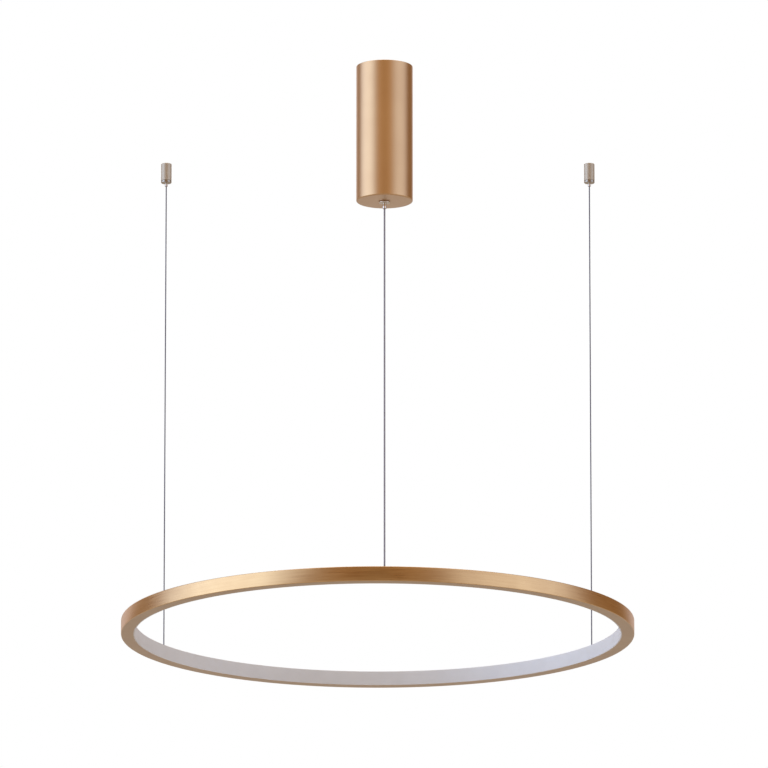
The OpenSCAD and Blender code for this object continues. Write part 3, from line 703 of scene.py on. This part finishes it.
@dataclass
class HangingLine:
    """A round or stranded line that hangs straight down.

    Its hanging and its held length are each given as upper and lower end.
    """

    name: str
    node: str
    slot: str
    finish: Finish
    axis: Point
    radius: float
    hanging: Point
    held: Point
    strands: int = 0
    per_strand: int = 6
    lay_length: float = 10.0
    rows_per_lay: int = 16
    plain_row: float = 10.0
    points: int = 24

    def tube(self, name: str, top: float, bottom: float) -> Piece:
        """Winds one length of the line by screwing its section downwards.

        Args:
            name: the piece's name.
            top: its upper end in mm.
            bottom: its lower end in mm.

        Returns:
            The finished piece.
        """
        around = self.strands * self.per_strand if self.strands else 24
        length = top - bottom
        rows = length / self.lay_length * self.rows_per_lay if self.strands else length / self.plain_row
        deselect_all()
        bpy.ops.mesh.primitive_circle_add(
            vertices=around, radius=mm(self.radius), fill_type="NOTHING",
            location=(mm(self.axis[0]), mm(self.axis[1]), mm(top)))
        piece = bpy.context.active_object
        piece.name = name
        if self.strands:
            self.press_valleys(piece)
        twist = piece.modifiers.new("twist", "SCREW")
        twist.axis = "Z"
        twist.angle = math.tau * length / self.lay_length if self.strands else 0.0
        twist.screw_offset = -mm(length)
        twist.steps = math.ceil(rows)
        twist.render_steps = math.ceil(rows)
        pick(piece)
        bpy.ops.object.modifier_apply(modifier=twist.name)
        close_mesh(piece)
        settle(piece)
        smooth(piece, 60.0)
        return piece

    def press_valleys(self, piece: Piece) -> None:
        """Shapes a circle to the outline of strands laid round a core strand.

        Args:
            piece: the circle, six points to a strand.
        """
        strand = self.radius / 3.0
        pitch = 2.0 * strand
        sector = 360.0 / self.strands
        bpy.ops.object.mode_set(mode="EDIT")
        for turn in (10, 20, 30):
            phi = math.radians(turn)
            root = strand ** 2 - (pitch * math.sin(phi)) ** 2
            reach = pitch * math.cos(phi) + math.sqrt(max(root, 0.0))
            mesh = bmesh.from_edit_mesh(piece.data)
            for vertex in mesh.verts:
                angle = math.degrees(math.atan2(vertex.co.y, vertex.co.x)) % sector
                vertex.select = abs(min(angle, sector - angle) - turn) < 1.0
            mesh.select_flush_mode()
            bmesh.update_edit_mesh(piece.data)
            share = reach / self.radius
            bpy.ops.transform.resize(value=(share, share, 1.0), center_override=piece.location)
        bpy.ops.object.mode_set(mode="OBJECT")

    def build(self, palette: Palette, body: str) -> None:
        """Makes the length that hangs and the length in the gripper.

        Args:
            palette: where finishes come from.
            body: the CAD body that the line hangs on.
        """
        top, bottom = self.hanging
        piece = self.tube(self.name, top, bottom)
        palette.fit(piece, self.finish, body, [self.node])
        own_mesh(piece)
        end = self.tube(self.name + "_held_end", *self.held)
        palette.fit(end, self.finish, "ceiling_set", [self.node + "_end"])


@dataclass
class Canister:
    """The tall driver canister: a drawn tube with a closed, round-edged floor."""

    radius: float = 32.5
    wall: float = 2.0
    top: float = -0.4
    bottom: float = -161.0
    floor: float = 3.0
    edge: float = 1.5
    hole: float = 5.1
    grub_z: float = -8.5
    grub_r: float = 2.1
    grub_angles: tuple[float, ...] = (25.0, 155.0)

    def section(self) -> Section:
        """Returns the shell's closed section."""
        inner = self.radius - self.wall
        inside = self.bottom + self.floor
        soft = 0.25
        return [
            (self.hole + soft, self.bottom),
            *arc((self.radius - self.edge, self.bottom + self.edge), self.edge, -90, 0, 12),
            (self.radius, self.top - soft), (self.radius - soft, self.top),
            (inner + soft, self.top), (inner, self.top - soft),
            *arc((inner - 1.0, inside + 1.0), 1.0, 0, -90, 4),
            (self.hole + soft, inside), (self.hole, inside - soft),
            (self.hole, self.bottom + soft),
        ]

    def build(self, palette: Palette) -> None:
        """Turns the shell, drills its two grub screw holes and dresses it from the palette."""
        shell = turned("canister", self.section(), segments=192)
        for angle in self.grub_angles:
            turn = math.radians(angle)
            out = Vector((math.cos(turn), math.sin(turn), 0.0))
            drill(shell, out * (self.radius - 1.0) + Vector((0, 0, self.grub_z)), out, self.grub_r, 6.0)
        smooth(shell)
        palette.fit(shell, Finish.CHAMPAGNE, "ceiling_set", ["canister_shell"])


@dataclass
class Gripper:
    """The hollow and the ball cage of a line gripper, for a line of one radius."""

    line_r: float
    exit_z: float
    lip: float = 1.5
    gap: float = 0.3
    slide: float = 0.1
    cage_wall: float = 1.15
    flange: float = 0.8
    flange_t: float = 0.8
    edge: float = 0.1
    cone: float = 15.0
    ball_hole_r: float = 0.95
    spring_l: float = 4.6
    spring_turns: int = 4
    spring_wire_r: float = 0.2
    seat_gap: float = 0.1
    press_travel: float = 2.0

    def __post_init__(self) -> None:
        """Works out the radii and heights that follow from the line."""
        self.bore = self.line_r + self.gap
        self.cage_r = self.bore + self.cage_wall
        self.exit_r = self.cage_r + self.slide
        self.flange_r = self.cage_r + self.flange
        self.chamber_r = self.flange_r + 0.25
        slope = math.radians(self.cone)
        self.cone_top = self.exit_z + self.lip + (self.chamber_r - self.exit_r) / math.tan(slope)
        self.flange_z = self.cone_top + 0.2
        self.spring_z = self.flange_z + self.flange_t
        self.seat_z = self.spring_z + self.spring_l
        reach = self.line_r + self.ball_hole_r + self.ball_hole_r / math.cos(slope)
        self.ball_z = self.exit_z + self.lip + (reach - self.exit_r) / math.tan(slope)

    def hollow(self, top: float, outer_mouth: float) -> Section:
        """Returns the inner side of a gripper's housing from its top down to its exit.

        Args:
            top: where the spring's chamber ends, in mm.
            outer_mouth: how far the exit's edge is broken, in mm.
        """
        return [
            (self.chamber_r, top), (self.chamber_r, self.cone_top),
            (self.exit_r, self.exit_z + self.lip),
            (self.exit_r, self.exit_z + outer_mouth),
            (self.exit_r + outer_mouth, self.exit_z),
        ]

    def cage(self) -> Section:
        """Returns the cage's outer side from its spring flange's bore down to the exit."""
        return [
            (self.bore, self.spring_z),
            (self.flange_r - self.edge, self.spring_z), (self.flange_r, self.spring_z - self.edge),
            (self.flange_r, self.flange_z + self.edge), (self.flange_r - self.edge, self.flange_z),
            (self.cage_r, self.flange_z),
        ]

    def wind_spring(self, palette: Palette, name: str, at: Point, node: str, joint: str) -> None:
        """Winds the compression spring above the cage.

        Args:
            palette: where finishes come from.
            name: the piece's name.
            at: its axis in plan.
            node: the CAD node it stands for.
            joint: not used.
        """
        low = self.spring_z + self.seat_gap + self.spring_wire_r
        high = self.seat_z - self.seat_gap - self.spring_wire_r
        coil_r = self.flange_r - self.spring_wire_r - self.edge
        rows = 40 * self.spring_turns
        deselect_all()
        bpy.ops.mesh.primitive_circle_add(
            vertices=16, radius=mm(self.spring_wire_r), fill_type="NOTHING",
            location=(mm(coil_r), 0.0, mm(low)), rotation=(math.pi / 2, 0.0, 0.0))
        piece = bpy.context.active_object
        piece.name = name
        settle(piece)
        coil = piece.modifiers.new("coil", "SCREW")
        coil.axis = "Z"
        coil.angle = math.tau * self.spring_turns
        coil.screw_offset = mm(high - low)
        coil.steps = rows
        coil.render_steps = rows
        pick(piece)
        bpy.ops.object.modifier_apply(modifier=coil.name)
        close_mesh(piece)
        bpy.ops.transform.translate(value=(mm(at[0]), mm(at[1]), 0.0))
        settle(piece)
        smooth(piece, 60.0)
        palette.fit(piece, Finish.SPRING_STEEL, "ceiling_set", [node])
        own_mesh(piece)

    def drill_cage(self, piece: Piece, at: Point) -> None:
        """Drills the three ball holes through a cage.

        Args:
            piece: the plunger.
            at: its axis in plan.
        """
        for k in range(3):
            turn = math.radians(120 * k)
            out = Vector((math.cos(turn), math.sin(turn), 0.0))
            middle = Vector((at[0], at[1], self.ball_z)) + out * (self.cage_r - 0.4)
            drill(piece, middle, out, self.ball_hole_r, 3.0)
        smooth(piece)


@dataclass
class Gland:
    """The cable gland under the canister: a domed flange on a threaded stem, and its release nose."""

    grip: Gripper = field(default_factory=lambda: Gripper(1.0, -163.0))
    flange_r: float = 6.75
    flange_t: float = 2.0
    stem_r: float = 5.0
    plain_stem: float = 3.6
    thread_end: float = 1.3
    top: float = -150.855
    plug_bore: float = 4.1
    nose_tip: float = -169.5
    nose_tip_r: float = 2.3

    def body_section(self) -> Section:
        """Returns the gland body's section, with its thread as plain grooves."""
        rim = self.flange_t / 2
        base = self.grip.exit_z
        r = self.stem_r
        thread: Section = []
        z = base + self.flange_t + self.plain_stem
        while z < self.top - self.thread_end:
            thread += [(r, z), (r, z + 0.12), (r - 0.5, z + 0.5), (r, z + 0.88)]
            z += 1.0
        return [
            *arc((self.flange_r - rim, base + rim), rim, -90, 90, 16),
            (self.stem_r, base + self.flange_t),
            *thread,
            (self.stem_r, self.top - 0.3), (self.stem_r - 0.3, self.top),
            (self.plug_bore, self.top), (self.plug_bore, self.grip.seat_z),
            *self.grip.hollow(self.grip.seat_z, 0.12),
        ]

    def nose_section(self) -> Section:
        """Returns the plunger's section: cage above, tapered nose below."""
        grip = self.grip
        shoulder = grip.exit_z - 0.3
        tip_r = self.nose_tip_r
        tip = self.nose_tip
        return [
            *grip.cage(),
            (grip.cage_r, shoulder),
            (tip_r, tip + 0.5),
            *arc((tip_r - 0.4, tip + 0.4), 0.4, 0, -90, 6)[1:],
            (grip.bore + 0.12, tip), (grip.bore, tip + 0.12),
        ]

    def build(self, palette: Palette) -> None:
        """Turns both pieces and dresses them from the palette."""
        body = turned("cable_gland", self.body_section(), segments=96)
        palette.fit(body, Finish.POLISHED_NICKEL, "ceiling_set", ["gland_body"])
        nose = turned("gland_release_nose", self.nose_section(), segments=72)
        self.grip.drill_cage(nose, FEED_AXIS)
        palette.fit(nose, Finish.POLISHED_NICKEL, "gland_release", ["gland_plunger"])
        self.grip.wind_spring(palette, "gland_release_spring", FEED_AXIS, "gland_spring", "gland_press")


@dataclass
class CeilingAnchor:
    """A small ceiling anchor: barrel, lower part with a groove above it, and release tip."""

    grip: Gripper = field(default_factory=lambda: Gripper(0.75, -24.0))
    radius: float = 6.25
    chamfer: float = 0.5
    top: float = -0.3
    joint_z: float = -20.9
    groove_h: float = 0.8
    groove_depth: float = 0.7
    base_bore: float = 5.1
    spigot_r: float = 4.6
    web: float = 1.5
    tip_z: float = -28.2
    tip_r: float = 1.8

    def barrel_section(self) -> Section:
        """Returns the barrel's section."""
        seat = self.grip.seat_z
        rim = 0.12
        return [
            (self.radius - rim, self.joint_z), (self.radius, self.joint_z + rim),
            (self.radius, self.top - self.chamfer), (self.radius - self.chamfer, self.top),
            (self.base_bore, self.top),
            (self.base_bore, seat + self.web),
            (self.grip.bore, seat + self.web), (self.grip.bore, seat),
            (self.spigot_r + 0.1, seat), (self.spigot_r + 0.1, self.joint_z),
        ]

    def nose_section(self) -> Section:
        """Returns the lower part's section, with the groove's floor and the spigot in the barrel."""
        base = self.grip.exit_z
        land = self.joint_z - self.groove_h
        rim = 0.12
        inner = self.radius - self.groove_depth
        return [
            (self.radius - self.chamfer, base), (self.radius, base + self.chamfer),
            (self.radius, land - rim), (self.radius - rim, land),
            (inner, land), (inner, self.joint_z),
            (self.spigot_r, self.joint_z),
            (self.spigot_r, self.grip.seat_z - 0.1),
            *self.grip.hollow(self.grip.seat_z - 0.1, 0.1),
        ]

    def tip_section(self) -> Section:
        """Returns the plunger's section: cage, neck and a bulb with a round lower edge."""
        grip = self.grip
        neck_top = grip.exit_z - 0.2
        bulb_top = self.tip_z + 2.1
        neck_r = self.tip_r - 0.3
        edge = self.tip_r - grip.bore - 0.2
        return [
            *grip.cage(),
            (grip.cage_r, neck_top), (neck_r, neck_top),
            (neck_r, bulb_top),
            (self.tip_r - 0.15, bulb_top), (self.tip_r, bulb_top - 0.15),
            *arc((self.tip_r - edge, self.tip_z + edge), edge, 0, -90, 8),
            (grip.bore, self.tip_z),
        ]

    def build(self, palette: Palette) -> None:
        """Turns the three pieces once, on the left, copies them to the right and dresses all six."""
        left = [
            turned("left_anchor_barrel_satin", self.barrel_section(), LEFT_AXIS, 96),
            turned("left_anchor_nose_satin", self.nose_section(), LEFT_AXIS, 96),
            turned("left_release_tip", self.tip_section(), LEFT_AXIS, 64),
        ]
        self.grip.drill_cage(left[2], LEFT_AXIS)
        across = Vector((RIGHT_AXIS[0] - LEFT_AXIS[0], 0.0, 0.0))
        names = ["right_anchor_barrel_satin", "right_anchor_nose_satin", "right_release_tip"]
        right = [copied(piece, name, across) for piece, name in zip(left, names)]
        for side, axis, (barrel, nose, tip) in (("left", LEFT_AXIS, left), ("right", RIGHT_AXIS, right)):
            palette.fit(barrel, Finish.SATIN_NICKEL, "ceiling_set", [side + "_anchor_barrel"])
            palette.fit(nose, Finish.TURNED_NICKEL, "ceiling_set", [side + "_anchor_nose"])
            palette.fit(
                tip, Finish.POLISHED_NICKEL, side + "_release", [side + "_plunger"])
            self.grip.wind_spring(palette, side + "_release_spring", axis, side + "_spring", side + "_press")


@dataclass
class LightRing:
    """The ring: a bent aluminium channel, its opal strip and the bushes that the lines end in."""

    radius: float = 300.0
    top: float = -592.0
    bottom: float = -609.0
    wall: float = 1.5
    flange: float = 1.4
    edge: float = 0.8
    channel_r: float = 285.5
    face_r: float = 284.0
    ridge_r: float = 286.3
    ridge_w: float = 0.8
    ridge_h: float = 0.5
    rib_h: float = 0.8
    rib_t: float = 0.8
    strip_half: float = 4.1
    leg_l: float = 2.6
    leg_t: float = 0.9
    inset: float = 0.2
    snap_gap: float = 0.1
    bush_hole: float = 3.0
    segments: int = 480

    def profile_section(self) -> Section:
        """Returns the channel's section: outer wall, two flanges, snap ridges and strip ribs."""
        middle = (self.top + self.bottom) / 2
        high = self.top - self.flange
        inner = self.radius - self.wall
        ridge_end = self.ridge_r + self.ridge_w
        ridge_z = high - self.ridge_h
        rib_end = inner - self.rib_h
        rib_low = middle + self.strip_half
        rib_high = rib_low + self.rib_t
        rim = 0.15
        outside = [
            *arc((self.radius - self.edge, self.top - self.edge), self.edge, 0, 90, 6),
            (self.channel_r + rim, self.top),
        ]
        inside = [
            (self.channel_r, self.top - rim),
            (self.channel_r, high), (self.ridge_r, high),
            (self.ridge_r, ridge_z), (ridge_end, ridge_z),
            (ridge_end, high), (inner, high),
            (inner, rib_high), (rib_end, rib_high),
            (rib_end, rib_low), (inner, rib_low),
        ]
        return mirrored(outside, middle) + outside + inside + mirrored(inside, middle)

    def diffuser_section(self) -> Section:
        """Returns the opal strip's section: a face with soft edges and two barbed legs."""
        middle = (self.top + self.bottom) / 2
        high = self.top - self.inset
        leg_high = self.top - self.flange - self.ridge_h - self.snap_gap
        leg_low = leg_high - self.leg_t
        barb = self.ridge_r + self.ridge_w + self.snap_gap
        barb_z = leg_high + self.ridge_h
        leg_end = self.channel_r + self.leg_l
        soft = 0.4
        upper = [
            (self.channel_r, leg_low), (leg_end, leg_low),
            (leg_end, leg_high), (leg_end - 0.3, barb_z),
            (barb, barb_z), (barb, leg_high),
            (self.channel_r, leg_high), (self.channel_r, high),
            *arc((self.face_r + soft, high - soft), soft, 90, 180, 6),
        ]
        return mirrored(upper, middle) + upper

    def bush_section(self) -> Section:
        """Returns a bush's section: chamfered collar, flared mouth and round seat for the ball stop."""
        stem = 2.9
        collar = 4.0
        collar_top = self.top + 0.8
        throat = 1.5
        cavity = 2.1
        ball_z = self.top - 5.0
        start = math.degrees(math.acos(throat / cavity))
        return [
            (cavity, self.top - 8.0),
            (stem - 0.2, self.top - 8.0), (stem, self.top - 7.8),
            (stem, self.top),
            (collar, self.top),
            (collar, self.top + 0.4), (collar - 0.4, collar_top),
            (2.1, collar_top), (2.0, collar_top - 0.1),
            (throat, ball_z + 1.8),
            *arc((0.0, ball_z), cavity, start, 0, 6),
        ]

    def build(self, palette: Palette) -> None:
        """Turns the channel, drills it for the bushes, turns the opal strip and makes the three bushes."""
        channel = turned("ring_channel", self.profile_section(), RING_CENTRE, self.segments)
        for x, y in (FEED_AXIS, LEFT_AXIS, RIGHT_AXIS):
            drill(channel, Vector((x, y, self.top)), Vector((0, 0, 1)), self.bush_hole, 4.0)
        smooth(channel)
        palette.fit(channel, Finish.BRUSHED, "light_ring", ["ring_profile"])
        # The level faces take the darker matt tone: painted shade on the ring's underside
        palette.dress_level_faces(channel, Finish.MATT)
        strip = turned("opal_strip", self.diffuser_section(), RING_CENTRE, self.segments)
        palette.fit(strip, Finish.OPAL, "light_ring", ["diffuser"])
        feed = turned("feed_bush", self.bush_section(), FEED_AXIS, 64)
        left = copied(feed, "left_bush", Vector((*LEFT_AXIS, 0.0)))
        right = copied(feed, "right_bush", Vector((*RIGHT_AXIS, 0.0)))
        for bush in (feed, left, right):
            palette.fit(bush, Finish.SATIN_NICKEL, "light_ring", ["ring_bushes"])


# What each CAD node is made of, also those that a new piece stands for
ONCE = {
    Finish.CHAMPAGNE: ["canister_shell"],
    Finish.BRUSHED: ["ring_profile"],
    Finish.OPAL: ["diffuser"],
    Finish.POLISHED_NICKEL: ["gland_body", "gland_plunger"],
    Finish.SATIN_NICKEL: ["gland_nut", "gland_plug", "feed_stop", "ring_bushes", "bush_nuts"],
    Finish.ZINC: ["ceiling_bracket", "driver_carrier", "carrier_screws", "driver_screws"],
    Finish.BLACK_OXIDE: ["shell_screws"],
    Finish.SPRING_STEEL: ["gland_spring"],
    Finish.BALL_STEEL: ["gland_balls"],
    Finish.PVC: ["feed_cable", "feed_cable_end"],
    Finish.RUBBER: ["cable_grommet"],
    Finish.ABS: ["led_driver"],
    Finish.POLYAMIDE: ["terminal_block"],
    Finish.BOARD: ["led_strip"],
    Finish.PHOSPHOR: ["led_chips"],
    Finish.CONNECTOR: ["strip_connector"],
    Finish.BLUE_CORE: ["mains_leads"],
    Finish.RED_CORE: ["strip_leads"],
}
# The same for the nodes that are there on the left and on the right, without the side in their names
EACH_SIDE = {
    Finish.SATIN_NICKEL: ["anchor_barrel", "stop"],
    Finish.TURNED_NICKEL: ["anchor_nose"],
    Finish.POLISHED_NICKEL: ["plunger"],
    Finish.ZINC: ["anchor_base"],
    Finish.SPRING_STEEL: ["spring"],
    Finish.BALL_STEEL: ["balls"],
    Finish.ROPE_STEEL: ["wire", "wire_end"],
}


def dress_nodes(palette: Palette) -> None:
    """Gives every CAD node its finish from the palette."""
    finishes = {node: finish for finish, nodes in ONCE.items() for node in nodes}
    for side in ("left_", "right_"):
        finishes.update({side + node: finish for finish, nodes in EACH_SIDE.items() for node in nodes})
    for name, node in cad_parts.items():
        palette.dress(node, finishes[name])
        log.info("CAD node %s dressed", name)


def main() -> None:
    """Builds the lamp's looks in order."""
    logging.basicConfig(level=logging.INFO, format="%(message)s")
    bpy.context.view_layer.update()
    studio = Studio()
    studio.place_camera()
    palette = Palette()
    dress_nodes(palette)
    feed = HangingLine(
        "feed_cable_sheath", "feed_cable", "cable_sheath", Finish.PVC, FEED_AXIS, 1.0,
        hanging=(-168.0, -598.8), held=(-136.0, -167.7))
    feed.build(palette, "feed_line")
    for side, axis in (("left", LEFT_AXIS), ("right", RIGHT_AXIS)):
        rope = HangingLine(
            side + "_steel_rope", side + "_wire", "wire_steel", Finish.ROPE_STEEL, axis, 0.75,
            hanging=(-26.7, -598.8), held=(-10.85, -26.4), strands=6)
        rope.build(palette, side + "_line")
    Canister().build(palette)
    Gland().build(palette)
    CeilingAnchor().build(palette)
    LightRing().build(palette)
    studio.set_up()


if __name__ == "__main__":
    main()
